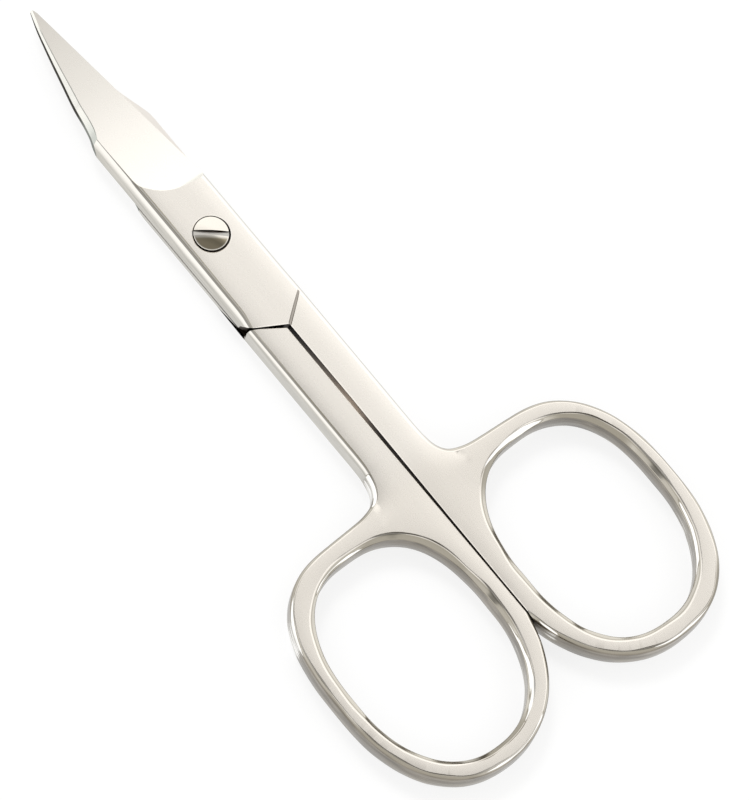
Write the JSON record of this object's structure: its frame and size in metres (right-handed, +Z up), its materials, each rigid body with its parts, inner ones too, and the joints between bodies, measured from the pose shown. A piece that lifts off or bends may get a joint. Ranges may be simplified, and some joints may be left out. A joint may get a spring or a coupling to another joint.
{
  "type": "manicure scissors",
  "caption": "Small steel nail scissors: short pointed blades with hollow-ground faces, a slotted pivot screw, straight shanks and closed oval finger rings.",
  "frame": {"origin": "under the middle of the closed scissors' outline, on the plane that they lie on", "axes": "+Y along the scissors towards the blade tips, +Z up through the thickness towards the screw head, +X across towards the ring of the half on top"},
  "size_m": [0.0432, 0.0914, 0.0034],
  "materials": {
    "upper_half_steel": "satin",
    "lower_half_steel": "satin",
    "pivot_screw_steel": "polished"
  },
  "bodies": {
    "lower": {"lower_half": "lower_half_steel", "pivot_screw": "pivot_screw_steel"},
    "upper": {"upper_half": "upper_half_steel"}
  },
  "joints": [
    {"name": "pivot_hinge", "type": "hinge", "parent": "lower", "child": "upper", "pos_m": [0, 0.01575, 0.0016], "axis": [0, 0, 1], "range_deg": [0, 136]}
  ]
}
